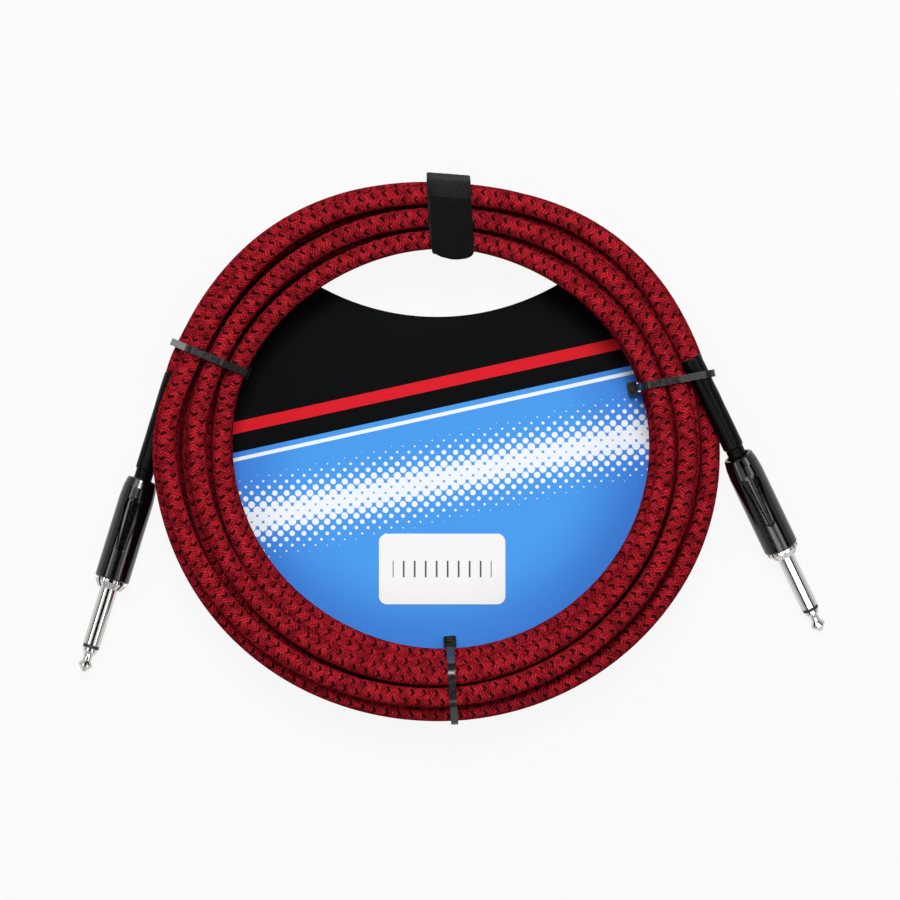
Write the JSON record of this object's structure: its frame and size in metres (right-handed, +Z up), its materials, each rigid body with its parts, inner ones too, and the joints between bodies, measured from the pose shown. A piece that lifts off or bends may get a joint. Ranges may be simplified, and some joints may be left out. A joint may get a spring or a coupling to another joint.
{
  "type": "instrument cable",
  "caption": "Braided two-plug instrument cable wound into a flat coil, held by cable ties and a hook-and-loop strap, with a printed card in its middle.",
  "frame": {"origin": "on the table, under the middle of the part's box measured without the cable itself", "axes": "+Z up from the table that the coil lies on, +Y from the coil's middle towards the strap, +X towards the right plug"},
  "size_m": [0.2713, 0.1985, 0.0362],
  "materials": {
    "braid_red": "woven",
    "heat_shrink": "satin",
    "shell_black": "gloss",
    "plug_nickel": "polished",
    "insulator": "satin",
    "lug_brass": "satin",
    "washer_fibre": "matte",
    "liner_plastic": "satin",
    "jacket_rubber": "matte",
    "core_wire": "satin",
    "screen_copper": "satin",
    "solder_tin": "satin",
    "tie_nylon": "satin",
    "strap_webbing": "fuzzy",
    "tongue_webbing": "woven",
    "card_print": "satin print",
    "label_white": "matte"
  },
  "bodies": {
    "cable": {"cable_coil": "braid_red", "card_label": "label_white", "clamp_lug_left": "lug_brass", "clamp_lug_right": "lug_brass", "collar_left": "plug_nickel", "collar_right": "plug_nickel", "core_left": "core_wire", "core_right": "core_wire", "heat_shrink_left": "heat_shrink", "heat_shrink_right": "heat_shrink", "insert_card": "card_print", "jacket_left": "jacket_rubber", "jacket_right": "jacket_rubber", "lead_left": "braid_red", "lead_right": "braid_red", "rear_washer_left": "washer_fibre", "rear_washer_right": "washer_fibre", "screen_left": "screen_copper", "screen_right": "screen_copper", "sleeve_left": "plug_nickel", "sleeve_right": "plug_nickel", "solder_left": "solder_tin", "solder_right": "solder_tin", "strap": "strap_webbing", "tie_bottom": "tie_nylon", "tie_left": "tie_nylon", "tie_right": "tie_nylon", "tip_contact_left": "plug_nickel", "tip_contact_right": "plug_nickel", "tip_insulator_left": "insulator", "tip_insulator_right": "insulator", "tip_lug_left": "lug_brass", "tip_lug_right": "lug_brass"},
    "left_liner": {"liner_left": "liner_plastic"},
    "right_liner": {"liner_right": "liner_plastic"},
    "left_shell": {"shell_left": "shell_black"},
    "right_shell": {"shell_right": "shell_black"},
    "strap_tongue": {"strap_tongue": "tongue_webbing"}
  },
  "joints": [
    {"name": "left_liner_travel", "type": "slide", "parent": "cable", "child": "left_liner", "axis": [0.2944, 0.9556, -0.0157], "range_m": [0, 0.006]},
    {"name": "left_shell_unscrew", "type": "hinge", "parent": "left_liner", "child": "left_shell", "pos_m": [-0.11839, -0.02866, 0.00665], "axis": [0.2944, 0.9556, -0.0157], "range_deg": [0, 2161]},
    {"name": "right_liner_travel", "type": "slide", "parent": "cable", "child": "right_liner", "axis": [-0.4267, 0.8713, 0.2425], "range_m": [0, 0.006]},
    {"name": "right_shell_unscrew", "type": "hinge", "parent": "right_liner", "child": "right_shell", "pos_m": [0.11081, -0.01845, 0.01519], "axis": [-0.4267, 0.8713, 0.2425], "range_deg": [0, 2161]},
    {"name": "strap_tongue_peel", "type": "hinge", "parent": "cable", "child": "strap_tongue", "pos_m": [-0.0015, 0.0908, 0.03497], "axis": [-1, 0, 0], "range_deg": [0, 100]}
  ],
  "couplings": [
    {"joint": "left_shell_unscrew", "follows": "left_liner_travel", "rad_per_m": 6283.2},
    {"joint": "right_shell_unscrew", "follows": "right_liner_travel", "rad_per_m": 6283.2}
  ]
}
